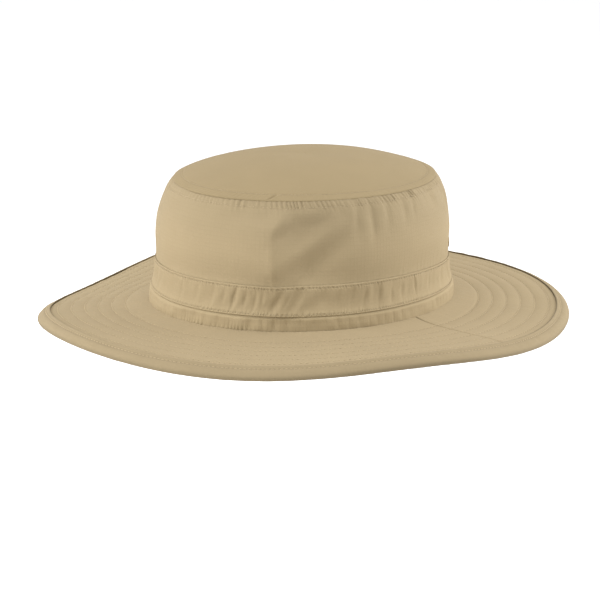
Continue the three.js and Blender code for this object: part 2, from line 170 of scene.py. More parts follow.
def add_lights():
    """Soft boxes at both sides, above and weakly behind the hat, and an even pale surround."""
    white, cool = (1, 1, 1), (0.98, 1.0, 1.08)
    add_softbox("left_softbox", -1.42, 0.66, 0.28, 0.8, 23, cool)
    add_softbox("right_softbox", 1.6, -0.02, 0.28, 0.8, 21, cool)
    add_softbox("top_softbox", 0, 0.3, 1.9, 0.9, 30, cool)
    add_softbox("back_left", -1.3, -0.9, 0.4, 0.8, 6, white)
    add_softbox("back_right", 1.3, -0.9, 0.4, 0.8, 8, white)
    world = bpy.data.worlds.new("studio")
    world.use_nodes = True
    colour, strength = world.node_tree.nodes["Background"].inputs[:2]
    colour.default_value = (1, 1, 1, 1)
    strength.default_value = 1.0
    bpy.context.scene.world = world
    bpy.context.scene.view_settings.view_transform = "Standard"


def add_floor():
    mesh = bpy.data.meshes.new("floor")
    corners = [(across * FLOOR_HALF, along * FLOOR_HALF, FLOOR_HEIGHT)
               for across, along in ((-1, -1), (1, -1), (1, 1), (-1, 1))]
    mesh.from_pydata(corners, [], [(0, 1, 2, 3)])
    floor = add_object("floor", mesh)
    mesh.materials.append(Paint("floor_paint").finish({"Base Color": (0.97, 0.97, 0.97), "Roughness": 0.9}))


# ---- Materials ----


class Paint:
    """A material's node tree while it is being built."""

    def __init__(self, name):
        self.material = bpy.data.materials.new(name)
        self.material.use_nodes = True
        self.tree = self.material.node_tree
        self.shader = self.tree.nodes["Principled BSDF"]

    def feed(self, socket, value):
        """Links this input to an output, or gives it a colour or a number."""
        if isinstance(value, bpy.types.NodeSocket):
            self.tree.links.new(value, socket)
        elif hasattr(value, "__len__"):
            socket.default_value = (*value[:3], 1)
        else:
            socket.default_value = value

    def node(self, kind, inputs=None, **settings):
        made = self.tree.nodes.new(kind)
        for key, value in settings.items():
            setattr(made, key, value)
        for key, value in (inputs or {}).items():
            self.feed(made.inputs[key], value)
        return made

    def math(self, operation, first, second=0.0, third=0.0):
        return self.node("ShaderNodeMath", {0: first, 1: second, 2: third}, operation=operation).outputs[0]

    def times(self, first, second):
        return self.math("MULTIPLY", first, second)

    def noise(self, vector, scale, detail=2.0):
        node = self.node("ShaderNodeTexNoise", {"Vector": vector, "Scale": scale, "Detail": detail})
        return node.outputs["Fac"]

    def mix(self, share, first, second):
        return self.node("ShaderNodeMix", {0: share, 6: first, 7: second}, data_type="RGBA").outputs[2]

    def bump(self, height, distance, strength):
        inputs = {"Height": height, "Distance": distance, "Strength": strength}
        return self.node("ShaderNodeBump", inputs).outputs[0]

    def cloth(self):
        """The cloth's own coordinates in millimetres, together and apart."""
        cloth = self.node("ShaderNodeUVMap", uv_map="cloth").outputs[0]
        return cloth, *self.node("ShaderNodeSeparateXYZ", {0: cloth}).outputs[:2]

    def place(self):
        return self.node("ShaderNodeTexCoord").outputs["Object"]

    def finish(self, inputs):
        for key, value in inputs.items():
            self.feed(self.shader.inputs[key], value)
        return self.material


def scaled(colour, factor):
    return tuple(channel * factor for channel in colour)


def ridges(paint, coordinate, pitch, sharpness):
    """Narrow raised lines, one every `pitch` millimetres of this coordinate."""
    wave = paint.math("SINE", paint.times(coordinate, TURN / pitch))
    lifted = paint.math("MULTIPLY_ADD", wave, 0.5, 0.5)
    return paint.math("POWER", lifted, sharpness)


def woven_cloth(name, colour, grid):
    """Matt ripstop cotton: a fine plain weave, a raised grid of thicker threads, soft mottling, and painted
    shade.
    """
    paint = Paint(name)
    cloth, first, second = paint.cloth()
    wander = paint.noise(cloth, 0.06, 1.0)
    along = paint.math("MULTIPLY_ADD", wander, 1.2, first)
    across = paint.math("MULTIPLY_ADD", wander, 1.2, second)
    thick_warp = ridges(paint, along, RIPSTOP_PITCH, 9)
    thick = paint.math("MAXIMUM", thick_warp, ridges(paint, across, RIPSTOP_PITCH, 9))
    warp = paint.math("SINE", paint.times(along, TURN / WEAVE_PITCH))
    weft = paint.math("SINE", paint.times(across, TURN / WEAVE_PITCH))
    weave = paint.times(warp, weft)
    fibre = paint.noise(cloth, 3.1, 3.0)
    mottle = paint.noise(cloth, 0.035, 3.0)
    # Painted shade: each point's painted shade value darkens the cloth's colour towards 0.42 of itself,
    # standing in for shade in seams, grooves and hollows.
    painted_shade = paint.node("ShaderNodeAttribute", attribute_name="painted_shade").outputs["Fac"]
    tone = paint.mix(mottle, scaled(colour, 0.93), scaled(colour, 1.05))
    tone = paint.mix(paint.times(fibre, 0.35), tone, scaled(colour, 0.86))
    tone = paint.mix(paint.times(thick, 0.16 * grid), tone, scaled(colour, 0.70))
    tone = paint.mix(painted_shade, tone, scaled(colour, 0.42))
    height = paint.math("MULTIPLY_ADD", thick, 0.9 * grid, paint.math("MULTIPLY_ADD", weave, 0.16, fibre))
    normal = paint.bump(height, 0.00016, 0.45)
    roughness = paint.math("MULTIPLY_ADD", fibre, 0.12, 0.78)
    return paint.finish({
        "Base Color": tone, "Normal": normal, "Roughness": roughness, "Sheen Weight": 0.02,
        "Sheen Roughness": 0.6, "Specular IOR Level": 0.08,
    })


def twill_cloth(name, colour):
    """Cotton twill tape: fine slanting ribs."""
    paint = Paint(name)
    cloth, first, second = paint.cloth()
    slant = paint.math("ADD", first, second)
    rib = ridges(paint, slant, 1.1, 2)
    fibre = paint.noise(cloth, 2.4, 3.0)
    mottle = paint.noise(cloth, 0.04, 2.0)
    tone = paint.mix(mottle, scaled(colour, 0.9), scaled(colour, 1.06))
    tone = paint.mix(paint.times(rib, 0.3), tone, scaled(colour, 0.75))
    normal = paint.bump(paint.math("ADD", rib, fibre), 0.0002, 0.7)
    return paint.finish({"Base Color": tone, "Normal": normal, "Roughness": 0.88, "Sheen Weight": 0.3})


def felt(name, colour):
    paint = Paint(name)
    place = paint.place()
    fibre = paint.noise(place, 900, 4.0)
    tone = paint.mix(fibre, scaled(colour, 0.85), scaled(colour, 1.05))
    normal = paint.bump(fibre, 0.0003, 0.8)
    return paint.finish({"Base Color": tone, "Normal": normal, "Roughness": 0.95})


def sewing_thread(name, colour):
    """Spun thread: a soft twist and a little lustre."""
    paint = Paint(name)
    place = paint.place()
    twist = paint.noise(place, 2600, 1.0)
    shade = paint.noise(place, 60, 2.0)
    tone = paint.mix(twist, scaled(colour, 0.88), scaled(colour, 1.08))
    tone = paint.mix(paint.times(shade, 0.3), tone, scaled(colour, 0.85))
    normal = paint.bump(twist, 0.0001, 0.5)
    return paint.finish({"Base Color": tone, "Normal": normal, "Roughness": 0.6, "Specular IOR Level": 0.2})


def lacquered_brass(name, colour):
    paint = Paint(name)
    place = paint.place()
    worn = paint.noise(place, 420, 3.0)
    shine = paint.noise(place, 1500, 2.0)
    tone = paint.mix(worn, colour, scaled(colour, 1.9))
    roughness = paint.math("MULTIPLY_ADD", shine, 0.25, 0.28)
    normal = paint.bump(shine, 0.00008, 0.4)
    return paint.finish({"Base Color": tone, "Normal": normal, "Roughness": roughness, "Metallic": 0.85})


TAN = (0.268, 0.2075, 0.1165)
MATERIALS = {}


def make_materials():
    # Painted light and shade: the crown side's and the band's cloth are lighter copies of the tan, and the
    # tip's and the binding's are darker ones, toned to how light falls on each part.
    for key, colour, grid in (
        ("shell", TAN, 0.55), ("crown", scaled(TAN, 1.17), 0.55), ("tip", (0.225, 0.171, 0.09), 0.4),
        ("lining", scaled(TAN, 0.97), 0.45), ("band", scaled(TAN, 1.12), 0.35),
        ("binding", scaled(TAN, 0.86), 0.3),
    ):
        MATERIALS[key] = woven_cloth(f"{key}_ripstop", colour, grid)
    MATERIALS["sweatband"] = twill_cloth("sweatband_twill", scaled(TAN, 0.95))
    MATERIALS["tape"] = twill_cloth("seam_tape_twill", scaled(TAN, 0.85))
    MATERIALS["felt"] = felt("stiffener_felt", (0.68, 0.63, 0.52))
    MATERIALS["thread"] = sewing_thread("light_thread", scaled(TAN, 1.24))
    MATERIALS["crown_thread"] = sewing_thread("tan_thread", TAN)
    MATERIALS["label"] = twill_cloth("label_satin", (0.83, 0.81, 0.75))
    MATERIALS["metal"] = lacquered_brass("eyelet_lacquer", (0.11, 0.075, 0.035))


# ---- Shape helpers ----


def through(knots, x):
    """A smooth curve through (x, y) knots."""
    xs, ys = np.array(knots, float).T
    slope = np.gradient(ys, xs)
    i = np.clip(np.searchsorted(xs, x) - 1, 0, len(xs) - 2)
    step = xs[i + 1] - xs[i]
    t = np.clip((x - xs[i]) / step, 0, 1)
    return (
        (2 * t**3 - 3 * t**2 + 1) * ys[i] + (t**3 - 2 * t**2 + t) * step * slope[i]
        + (3 * t**2 - 2 * t**3) * ys[i + 1] + (t**3 - t**2) * step * slope[i + 1]
    )


def positive(x):
    return np.clip(x, 0, None)


def bell(x, width):
    """1 where x is 0, falling softly to 0 on both sides."""
    return np.exp(-((x / width) ** 2))


def arch(share):
    """0 at both ends of a span, 1 in its middle."""
    return np.sin(np.pi * np.clip(share, 0, 1))


def rounding(inset, radius):
    """A quarter round, from 0 on an edge to 1 this far in from it."""
    return np.sqrt(np.clip(1 - np.clip(1 - inset / radius, 0, 1) ** 2, 0, 1))


def all_round(count):
    """This many even steps round a full turn."""
    return np.arange(count) * TURN / count


def smooth(x):
    t = np.clip(x, 0, 1)
    return t * t * (3 - 2 * t)


def noise(around, up, columns, rows, seed):
    """A smooth random field from -1 to 1. `around` counts turns and repeats; `up` goes from 0 to 1."""
    lattice = np.random.default_rng(seed).uniform(-1, 1, (rows + 2, columns))
    around, up = np.broadcast_arrays(around, up)
    x = (around % 1.0) * columns
    y = np.clip(up, 0, 1) * rows
    column, row = np.floor(x).astype(int), np.floor(y).astype(int)
    tx, ty = smooth(x - column), smooth(y - row)
    low = lattice[row, column % columns] * (1 - tx) + lattice[row, (column + 1) % columns] * tx
    high = lattice[row + 1, column % columns] * (1 - tx) + lattice[row + 1, (column + 1) % columns] * tx
    return low * (1 - ty) + high * ty


def degrees_from(angle, middle):
    """How far round the oval, in degrees, a place is from this middle, from -180 to 180."""
    return (np.degrees(angle) - middle + 180) % 360 - 180


def millimetres_from(angle, middle, radius):
    return np.radians(degrees_from(angle, middle)) * radius


def hump(angle, middle, width):
    """1 at this many degrees round the oval, falling softly to 0 on both sides."""
    return np.exp(-((degrees_from(angle, middle) / width) ** 2) / 2)


def puckers(angle, away, pitch, lean, seed):
    """Rounded ridges with sharp valleys between them, running from a seam: about -0.6 to 0.4.

    They stand about `pitch` apart and shift `lean` round the hat for each millimetre away from the seam.
    """
    turns = (angle / TURN - lean * away / HEAD_AROUND) % 1.0
    count = round(HEAD_AROUND / pitch)
    phase = turns * count + 0.8 * noise(turns, 0, count // 3, 1, seed)
    vary = 0.6 + 0.5 * noise(turns, 0, count // 2, 1, seed + 1)
    return (np.abs(np.sin(np.pi * phase)) ** 0.75 - 0.62) * vary


def oval(angle, out, height):
    """Points `out` millimetres outside the head oval, along its own normal."""
    angle, out, height = np.broadcast_arrays(angle, out, height)
    across = np.cos(angle) / HEAD_HALF_WIDTH
    along = np.sin(angle) / HEAD_HALF_LENGTH
    radius = 1 / np.hypot(across, along)
    nx, ny = across / HEAD_HALF_WIDTH, along / HEAD_HALF_LENGTH
    size = np.hypot(nx, ny)
    x, y = radius * np.cos(angle) + out * nx / size, radius * np.sin(angle) + out * ny / size
    return np.stack([x, y, height], -1)


def unit(vectors):
    return vectors / np.maximum(np.linalg.norm(vectors, axis=-1, keepdims=True), 1e-9)


# ---- Meshes ----


def quads_between(low, high, left, right):
    """Faces between a low and a high row of points, each from its left column to its right one."""
    return np.stack([low + left, low + right, high + right, high + left], -1)


def make_piece(name, points, faces, material, stands_for, uv=None, painted_shade=None):
    """One finished piece: its mesh, its material, the body it rides on and the CAD nodes it stands for.

    `faces` is a list of integer arrays, each holding faces with one number of corners, and `uv` a list
    of arrays to match, with two coordinates for each corner.
    """
    mesh = bpy.data.meshes.new(name)
    sizes = np.concatenate([np.full(len(group), group.shape[1]) for group in faces])
    corners = np.concatenate([group.ravel() for group in faces]).astype(np.int32)
    starts = np.concatenate([[0], np.cumsum(sizes)[:-1]]).astype(np.int32)
    mesh.vertices.add(len(points))
    mesh.vertices.foreach_set("co", (np.asarray(points, float) * MM).ravel())
    mesh.loops.add(len(corners))
    mesh.polygons.add(len(sizes))
    mesh.polygons.foreach_set("loop_start", starts)
    mesh.polygons.foreach_set("vertices", corners)
    if uv is not None:
        layer = mesh.uv_layers.new(name="cloth")
        layer.data.foreach_set("uv", np.concatenate([group.reshape(-1) for group in uv]).astype(float))
    # Painted shade per point, which the cloth materials darken their colour by.
    if painted_shade is not None:
        attribute = mesh.attributes.new("painted_shade", "FLOAT", "POINT")
        attribute.data.foreach_set("value", np.asarray(painted_shade, float).ravel())
    mesh.update(calc_edges=True)
    mesh.validate()
    mesh.shade_smooth()
    piece = add_object(name, mesh)
    mesh.materials.append(MATERIALS[material])
    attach(piece, "root")
    if stands_for:
        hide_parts(*stands_for)
    return piece


def sheet_piece(name, face, back, ring, material, stands_for, maps=None, painted_shade=None):
    """A closed sheet of cloth between two grids of points with the same number of columns.

    `maps` gives the cloth coordinates of both grids; without it the cloth lies flat over X and Y.
    """
    columns = face.shape[1]
    points = np.concatenate([face.reshape(-1, 3), back.reshape(-1, 3)])
    if maps is None:
        chart = points[:, :2]
    else:
        chart = np.concatenate([m.reshape(-1, 2) for m in maps])
    start = face.shape[0] * columns
    left = np.arange(columns if ring else columns - 1)
    right = (left + 1) % columns
    over = np.where(right == 0, HEAD_AROUND if maps is not None else 0.0, 0.0)
    zero = np.zeros(len(left))

    def band(rows, base, flipped):
        low = np.arange(rows - 1)[:, None] * columns + base
        quads = quads_between(low, low + columns, left, right)
        wraps = np.broadcast_to(np.stack([zero, over, over, zero], -1), quads.shape)
        if flipped:
            quads, wraps = quads[..., ::-1], wraps[..., ::-1]
        return quads.reshape(-1, 4), wraps.reshape(-1, 4)

    def edge(face_row, back_row, flipped):
        quads = quads_between(face_row, back_row, left, right)
        wraps = np.stack([zero, over, over, zero], -1)
        return (quads, wraps) if flipped else (quads[:, ::-1], wraps[:, ::-1])

    last_back = start + (back.shape[0] - 1) * columns
    parts = [
        band(face.shape[0], 0, False),
        band(back.shape[0], start, True),
        edge(0, start, False),
        edge((face.shape[0] - 1) * columns, last_back, True),
    ]
    quads = np.concatenate([part[0] for part in parts])
    wraps = np.concatenate([part[1] for part in parts])
    faces = [quads]
    corner_maps = chart[quads].copy()
    corner_maps[..., 0] += wraps
    uv = [corner_maps]
    if not ring:
        face_rows = np.arange(face.shape[0]) * columns
        back_rows = start + np.arange(back.shape[0]) * columns
        first = np.concatenate([face_rows, back_rows[::-1]])[None]
        last = np.concatenate([back_rows, face_rows[::-1]])[None] + columns - 1
        for end in (first, last):
            faces.append(end)
            uv.append(chart[end])
    # The painted shade lies on the face grid only.
    if painted_shade is not None:
        on_face = np.broadcast_to(painted_shade, face.shape[:2]).ravel()
        painted_shade = np.concatenate([on_face, np.zeros(back.shape[0] * columns)])
    return make_piece(name, points, faces, material, stands_for, uv, painted_shade)


STITCH_STATIONS = np.array([-0.5, -0.44, -0.26, 0.0, 0.26, 0.44, 0.5])
STITCH_RISE = np.array([-0.9, -0.2, 0.4, 0.55, 0.4, -0.2, -0.9])
STITCH_GIRTH = np.array([0.5, 0.85, 1.0, 1.05, 1.0, 0.85, 0.5])
STITCH_SIDES = 6


def stitch_row(name, surface, row, pitch, stands_for, facing, girth=0.55, span=(0.0, TURN), along=False,
               thread="thread"):
    """A row of separate stitches lying on a surface, whose points are `surface(angle, row)`.

    `along` is true where the row runs across the hat instead of round it, at one angle. `facing` picks
    the side of the surface that the thread lies on.
    """
    def place(t, beside):
        return surface(row + beside, t) if along else surface(t, row + beside)

    ts = np.linspace(span[0], span[1], 4001)
    length = np.concatenate([[0], np.cumsum(np.linalg.norm(np.diff(place(ts, 0.0), axis=0), axis=1))])
    count = max(int(length[-1] / pitch), 1)
    middles = np.interp((np.arange(count) + 0.5) * length[-1] / count, length, ts)
    step = (span[1] - span[0]) * 2e-4
    nudge = 2e-3 if surface in (band_surface, tip_surface) or along else 0.2
    here = place(middles, 0.0)
    tangent = unit(place(middles + step, 0.0) - place(middles - step, 0.0))
    side = unit(place(middles, nudge) - place(middles, -nudge))
    normal = unit(np.cross(tangent, side))
    away = np.sum(normal * facing(here), axis=-1, keepdims=True)
    normal = np.where(away < 0, -normal, normal)
    side = np.cross(normal, tangent)
    long = length[-1] / count * 0.64
    ring = all_round(STITCH_SIDES)
    radius = girth / 2
    centre = (here[:, None] + tangent[:, None] * (STITCH_STATIONS * long)[None, :, None]
              + normal[:, None] * (STITCH_RISE * radius)[None, :, None])
    spoke = side[:, None] * np.cos(ring)[:, None] + normal[:, None] * (0.5 * np.sin(ring))[:, None]
    points = centre[:, :, None] + spoke[:, None] * (STITCH_GIRTH * radius)[None, :, None, None]
    size = len(STITCH_STATIONS) * STITCH_SIDES
    base = np.arange(len(STITCH_STATIONS) - 1)[:, None] * STITCH_SIDES
    k = np.arange(STITCH_SIDES)
    j = (k + 1) % STITCH_SIDES
    quads = quads_between(base, base + STITCH_SIDES, k, j).reshape(-1, 4)
    caps = np.array([k[::-1], k + size - STITCH_SIDES])
    shift = (np.arange(count) * size)[:, None, None]
    faces = [(quads[None] + shift).reshape(-1, 4), (caps[None] + shift).reshape(-1, STITCH_SIDES)]
    return make_piece(name, points.reshape(-1, 3), faces, thread, stands_for)


def above(here):
    return np.array([0.0, 0.0, 1.0]) + 0 * here


def below(here):
    return -above(here)


def outside(here):
    return here * np.array([0.01, 0.01, 0.0]) + np.array([0.0, 0.0, 0.3])


def inside(here):
    return here * np.array([-1.0, -1.0, 0.0])


# ---- Crown ----

# Folds of the crown side: degrees round, height, tilt in degrees, half length, half width, depth.
# A negative depth is a ridge.
CROWN_FOLDS = [
    (-55, 60, 41, 15, 4.5, 1.0),
    (-47, 50, 33, 24, 5.5, -1.6),
    (-42, 42, 33, 24, 6.5, 1.6),
    (-53, 30, 50, 8, 4, -0.9),
    (-27.5, 64, 86, 11, 3.2, 1.1),
    (-20.5, 64, 88, 11, 3.0, 1.3),
    (-12.5, 66, 82, 9, 3.2, 0.9),
    (-2.5, 67, 80, 8, 2.8, 0.6),
    (3.5, 67, 80, 7, 2.2, 0.45),
    (-100, 50, 80, 26, 12, 0.5),
    (70, 50, 60, 22, 9, 1.1),
    (118, 48, 105, 26, 10, 1.3),
    (131, 60, 80, 12, 3, 0.8),
    (160, 52, 62, 26, 9, 1.1),
    (-160, 46, 98, 26, 11, 1.0),
    (38, 62, 92, 12, 3, 0.5),
]
DENT_EDGE = -60.5
# The pushed-in front in plan: distance round the hat from its upright edge, and how far out the cloth is.
DENT_PLAN = [
    (-42, 0), (-32, 0.3), (-22, 1.2), (-12, 2.7), (-4, 4.2), (-1.2, 4.6), (0.8, 4.3), (3.5, 3.0),
    (9, 0.4), (14, -1.3), (20, -2.4), (28, -2.6), (38, -1.7), (50, -0.5), (60, 0),
]


def along_cloth(height):
    """How far below the tip seam a height lies, measured down the cloth."""
    under = TIP_SEAM_HEIGHT - height
    return np.where(under < 4.3, SHOULDER_CLOTH * under, 5.3 + 1.05 * (under - 4.3))


def front_dent(angle, height):
    """The crown's front is pushed in beside a soft upright edge on the wearer's left."""
    bow = 7 * (positive(height - 54) / 14) ** 2 + 2 * (positive(46 - height) / 18) ** 2
    along = np.clip(millimetres_from(angle, DENT_EDGE, 97) - bow, -42, 60)
    fade = smooth((height - 5) / 36) * smooth((74 - height) / 14)
    plan = through(DENT_PLAN, along) * fade
    return plan * np.where(plan > 0, 1.0, 0.25 + 0.75 * smooth((height - 20) / 14))


def seam_out(angle):
    """How far the tip seam lies from the head oval: a little further in at the wearer's right front."""
    return TIP_SEAM_OUT - 1.3 * hump(angle, -138, 34)


def crown_relief(angle, height):
    """How far the crown's cloth stands out from its smooth form."""
    down = positive(along_cloth(height))
    turns = angle / TURN
    lean = 0.42 * hump(angle, 0, 50) - 0.12 * hump(angle, -120, 30)
    lively = 0.6 + 0.75 * hump(angle, -12, 40) + 0.2 * hump(angle, -62, 18) + 0.3 * hump(angle, 150, 40)
    past = positive(down - SIDE_STITCH)
    held = 0.55 + 0.45 * arch(down / SIDE_STITCH)
    gathers = 0.95 * puckers(angle, down, 3.5, lean, 11) + 0.5 * puckers(angle, down, 3.1, lean, 12)
    relief = lively * held * np.exp(-((past / 2.4) ** 1.3)) * gathers
    relief += 0.5 * lively * smooth(down / 5) * bell(down - 8, 5) * noise(turns, 0, 74, 1, 13)
    relief -= 0.2 * bell(down - SIDE_STITCH, 0.55) + 0.3 * bell(down, 0.7)
    radius = HEAD_AROUND / TURN
    for middle, level, tilt, half_length, half_width, depth in CROWN_FOLDS:
        around = millimetres_from(angle, middle, radius)
        up = height - level
        turned = math.radians(tilt)
        long = around * math.cos(turned) + up * math.sin(turned)
        wide = up * math.cos(turned) - around * math.sin(turned)
        relief = relief - depth * np.exp(-((long / half_length) ** 2) - (wide / half_width) ** 2)
    share = height / TIP_SEAM_HEIGHT
    relief += (seam_out(angle) - TIP_SEAM_OUT) * smooth((height - 50) / 18)
    relief += 0.4 * noise(turns, share, 13, 3, 21) + 0.1 * noise(turns, share, 41, 7, 22)
    covered = smooth((height - 5) / 4) * smooth((30 - height) / 4)
    low = np.clip(height, 0, BAND_LOW)
    strip = np.sin(np.pi * np.clip(low + 0.8, 0, BAND_LOW) / BAND_LOW) ** 0.6 * (height < BAND_LOW)
    gathered = 0.2 + 0.85 * hump(angle, -84, 22) + 0.45 * hump(angle, -14, 26) + 0.4 * hump(angle, 140, 50)
    folds = 0.9 * puckers(angle, low, 7.5, -0.1, 31) + 0.8 * noise(turns % 1.0, low / 12, 90, 1, 35)
    foot = (0.3 + 0.9 * hump(angle, -82, 12)) * puckers(angle, low, 2.3, 0.1, 37) * np.exp(-low / 2.0)
    relief = relief * (1 - covered) * smooth((height - 6) / 3) + gathered * (strip * folds + foot)
    relief = relief + front_dent(angle, height)
    above_band = positive(height - BAND_HIGH)
    drawn = 0.25 * puckers(angle, above_band, 5.0, 0.1, 33) * np.exp(-above_band / 4)
    return relief + drawn * (height > BAND_HIGH) * (0.3 + hump(angle, 10, 40))


def under_band(height):
    """How far out the crown's cloth lies behind the hat band."""
    return through(SIDE_SECTION, np.clip(height, 9, 26))


def inside_out(height):
    """How far out the crown's inner face lies low down, where the sweatband and label lie on it."""
    return np.interp(height, [-2, 0.3, 8, 26], [-1.1, -1.1, -1.5, -3.1])


def crown_lap(angle, height):
    """The lapped seam at the centre back: a raised strip with a crisp edge on one side."""
    around = millimetres_from(angle, 90, 100)
    raised = smooth((around + 0.3) / 0.9) * smooth((11.5 - around) / 3.5)
    return 0.65 * raised + 0 * height


def crown_surface(angle, height):
    out = through(SIDE_SECTION, height) + crown_relief(angle, height) + crown_lap(angle, height)
    return oval(angle, out, height)


def strip_map(angle, height):
    angle, height = np.broadcast_arrays(angle, height)
    return np.stack([angle / TURN * HEAD_AROUND, height], -1)


def make_crown_side():
    angle = all_round(1200)[None]
    low = np.concatenate([[-0.9], np.linspace(-0.4, 2, 6), np.linspace(2, 8.5, 9)[1:]])
    middle = np.concatenate([[14, 20, 25], np.linspace(26.5, 58, 24)])
    high = np.concatenate([np.linspace(58, 68, 12)[1:], np.linspace(68, TIP_SEAM_HEIGHT, 19)[1:]])
    height = np.concatenate([low, middle, high])[:, None]
    face = crown_surface(angle, height)
    tuck = np.array([[1.0, -0.2], [3.2, 0.3]])
    top = [oval(angle[0], seam_out(angle[0]) - into, TIP_SEAM_HEIGHT + rise) for into, rise in tuck]
    face = np.concatenate([face, np.stack(top)])
    inner_height = np.array([-0.4, 4, 26, 30.5, 36, 44, 52, 60, 66, 71, 74.2])[:, None]
    slack = crown_relief(angle, inner_height) * (inner_height > 30) - 0.6 * (inner_height < 5)
    inner = oval(angle, through(SIDE_SECTION, inner_height) + slack - 1.0, inner_height)
    last = oval(angle, seam_out(angle) - 3.8, 75.0)
    back = np.concatenate([inner, last])
    maps = [strip_map(angle, np.concatenate([height, [[76.4], [78.4]]])),
            strip_map(angle, np.concatenate([inner_height, [[78.4]]]))]
    # Painted shade: the cloth is darker along the tip seam, darker towards the top of the crown, and darker
    # at its foot across the front, where it meets the brim.
    seam = np.exp(-positive(TIP_SEAM_HEIGHT - face[..., 2]) / 0.5)
    shaded = 0.15 * smooth((face[..., 2] - 6) / 26) + 0.3 * smooth((face[..., 2] - 36) / 36)
    foot = 0.5 * hump(angle, -45, 32) * np.exp(-positive(face[..., 2] + 0.3) / 0.6)
    painted_shade = np.clip(0.2 * seam + shaded + foot, 0, 1)
    piece = sheet_piece("crown_side_cloth", face, back, True, "crown", ["crown_side"], maps,
                        painted_shade)
    drill_eyelets(piece)


def eyelet_frame(degrees):
    """The middle of an eyelet on the cloth, and the direction straight out of it."""
    angle = math.radians(degrees)
    here = crown_surface(np.array([angle]), np.array([EYELET_HEIGHT]))[0]
    out = unit(oval(np.array([angle]), 1.0, EYELET_HEIGHT) - oval(np.array([angle]), 0.0, EYELET_HEIGHT))[0]
    return here, out


def drill_eyelets(piece):
    """Punches the eyelets' holes through the crown side."""
    points, faces = [], []
    sides = 24
    for degrees in EYELET_DEGREES.values():
        here, out = eyelet_frame(degrees)
        along = np.cross([0, 0, 1], out)
        ring = all_round(sides)
        circle = np.outer(np.cos(ring), along) + np.outer(np.sin(ring), [0, 0, 1])
        base = len(points)
        for depth in (-6, 6):
            points.extend(here + EYELET_HOLE * circle + depth * out)
        faces.append(tuple(range(base + sides - 1, base - 1, -1)))
        faces.append(tuple(range(base + sides, base + 2 * sides)))
        for k in range(sides):
            j = (k + 1) % sides
            faces.append((base + k, base + j, base + sides + j, base + sides + k))
    mesh = bpy.data.meshes.new("eyelet_drill")
    mesh.from_pydata([tuple(p * MM) for p in points], [], faces)
    drill = add_object("eyelet_drill", mesh)
    cut = piece.modifiers.new("holes", "BOOLEAN")
    cut.operation = "DIFFERENCE"
    cut.solver = "EXACT"
    cut.object = drill
    bpy.context.view_layer.update()
    evaluated = piece.evaluated_get(bpy.context.evaluated_depsgraph_get())
    result = bpy.data.meshes.new_from_object(evaluated)
    piece.modifiers.clear()
    old = piece.data
    piece.data = result
    result.name = old.name
    bpy.data.objects.remove(drill)


def tip_relief(angle, fraction):
    distance = positive((1 - fraction) * TIP_REACH)
    turns, share = angle / TURN, np.clip(fraction, 0, 1)
    lean = 0.95 * hump(angle, -85, 34) - 0.5 * hump(angle, -15, 34)
    lively = 0.3 + 0.5 * hump(angle, -88, 28) + 0.25 * hump(angle, 100, 60)
    past = positive(distance - TIP_STITCH)
    edge = 0.45 + 0.55 * arch(distance / TIP_STITCH)
    relief = 0.5 * lively * edge * np.exp(-((past / 1.6) ** 1.2)) * puckers(angle, distance, 3.7, lean, 41)
    drawn = noise((angle / TURN - 1.1 * distance / HEAD_AROUND) % 1.0, 0, 90, 1, 44)
    relief += 0.16 * lively * drawn * smooth(past / 3) * np.exp(-past / 12)
    tuck = millimetres_from(angle, -62, 88) - 0.95 * (distance - 3)
    relief -= 0.75 * bell(tuck, 0.8) * arch(distance / 6.2) ** 0.7
    relief += 0.3 * bell(tuck - 2.0, 1.2) * arch(distance / 6.2)
    relief += 0.35 * noise(turns, share, 7, 2, 42) * smooth(distance / 12) * smooth(fraction / 0.3)
    fallen = bell(fraction - 0.8, 0.22) * smooth(distance / 7)
    relief -= fallen * (1.6 * hump(angle, 30, 36) + 0.5 * hump(angle, -140, 40))
    relief -= 0.2 * bell(distance - TIP_STITCH, 0.6)
    return relief


def tip_surface(angle, fraction):
    angle, fraction = np.broadcast_arrays(angle, fraction)
    rim = oval(angle, seam_out(angle) + 0.1, 0.0)
    distance = positive((1 - fraction) * TIP_REACH)
    edge = 0.45 * (1 - rounding(distance, 0.9))
    height = through(TIP_PROFILE, fraction) + tip_relief(angle, fraction) - edge
    return np.stack([rim[..., 0] * fraction, rim[..., 1] * fraction, height], -1)


def make_crown_tip():
    angle = all_round(1080)[None]
    edge = 1 - np.linspace(0, 9, 25) / TIP_REACH
    rest = np.concatenate([np.linspace(edge[-1], 0.02, 39)[1:], [0.0003]])
    fraction = np.concatenate([edge, rest])[:, None]
    face = tip_surface(angle, fraction)
    inner_fraction = np.array([0.995, 0.97, 0.93, 0.86, 0.75, 0.6, 0.4, 0.2, 0.0003])[:, None]
    back = tip_surface(angle, inner_fraction)
    back[..., 2] = through(TIP_PROFILE, inner_fraction) - 1.3
    distance = (1 - fraction) * TIP_REACH
    # Painted shade: the tip is darker at its seam edge and along its stitch row.
    painted_shade = 0.2 * np.exp(-distance / 0.4) + 0.03 * bell(distance - TIP_STITCH, 0.5)
    piece = sheet_piece("crown_tip_cloth", face, back, True, "tip", ["crown_tip"],
                        painted_shade=painted_shade)


# ---- Hat band ----


